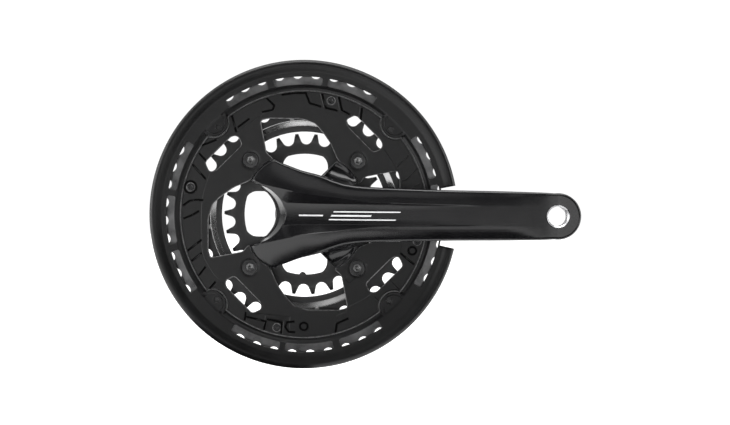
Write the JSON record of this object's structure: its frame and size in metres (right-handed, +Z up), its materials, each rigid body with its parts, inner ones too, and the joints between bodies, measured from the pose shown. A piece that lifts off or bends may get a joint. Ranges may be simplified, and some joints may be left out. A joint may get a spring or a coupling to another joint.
{
  "type": "bicycle crankset",
  "caption": "Triple bicycle crankset, drive side: forged arm and spider, three chainrings, chain guard and hollow spindle turning in a threaded bottom bracket.",
  "frame": {"origin": "on the spindle axis, at the middle of the bottom-bracket shell", "axes": "+X along the crank arm to the pedal, +Z up, spindle on Y with the drive side toward -Y"},
  "size_m": [0.2909, 0.158, 0.2108],
  "materials": {
    "arm_alloy": "satin black anodised forging",
    "cup_alloy": "black anodised",
    "spindle_steel": "ground steel",
    "tooth_steel": "stamped steel, satin",
    "ring_steel": "blackened steel, satin",
    "carrier_resin": "glass-filled resin, fine matt grain",
    "guard_resin": "moulded resin, matt",
    "bolt_steel": "black zinc head, bare socket",
    "nut_steel": "zinc plated",
    "pin_steel": "plain steel",
    "bearing_steel": "hardened, polished",
    "bush_nylon": "nylon",
    "sleeve_resin": "moulded resin",
    "seal_rubber": "nitrile"
  },
  "bodies": {
    "bottom_bracket": {"right_cup": "cup_alloy", "left_cup": "cup_alloy", "bb_sleeve": "sleeve_resin", "sleeve_o_rings": "seal_rubber", "right_outer_race": "bearing_steel", "left_outer_race": "bearing_steel", "right_bearing_seal": "seal_rubber", "left_bearing_seal": "seal_rubber"},
    "crank": {"crank_arm": "arm_alloy", "spindle": "spindle_steel", "outer_carrier": "carrier_resin", "outer_tooth_ring": "tooth_steel", "middle_chainring": "ring_steel", "inner_chainring": "ring_steel", "chain_guard": "guard_resin", "chainring_bolts": "bolt_steel", "chainring_nuts": "nut_steel", "inner_ring_bolts": "nut_steel", "guard_screws": "nut_steel", "outer_shift_pins": "pin_steel", "middle_shift_pins": "pin_steel", "chain_drop_pin": "pin_steel", "right_inner_race": "bearing_steel", "left_inner_race": "bearing_steel", "right_dust_bush": "bush_nylon", "left_dust_bush": "bush_nylon"},
    "right_cage_set": {"right_balls": "bearing_steel", "right_cage": "sleeve_resin"},
    "left_cage_set": {"left_balls": "bearing_steel", "left_cage": "sleeve_resin"}
  },
  "joints": [
    {"name": "crank_spin", "type": "hinge", "parent": "bottom_bracket", "child": "crank", "pos_m": [0, 0, 0], "axis": [0, 1, 0], "continuous": true},
    {"name": "right_cage_spin", "type": "hinge", "parent": "bottom_bracket", "child": "right_cage_set", "pos_m": [0, -0.043, 0], "axis": [0, 1, 0], "continuous": true},
    {"name": "left_cage_spin", "type": "hinge", "parent": "bottom_bracket", "child": "left_cage_set", "pos_m": [0, 0.043, 0], "axis": [0, 1, 0], "continuous": true}
  ],
  "couplings": [
    {"joint": "right_cage_spin", "follows": "crank_spin", "ratio": 0.4435},
    {"joint": "left_cage_spin", "follows": "crank_spin", "ratio": 0.4435}
  ]
}
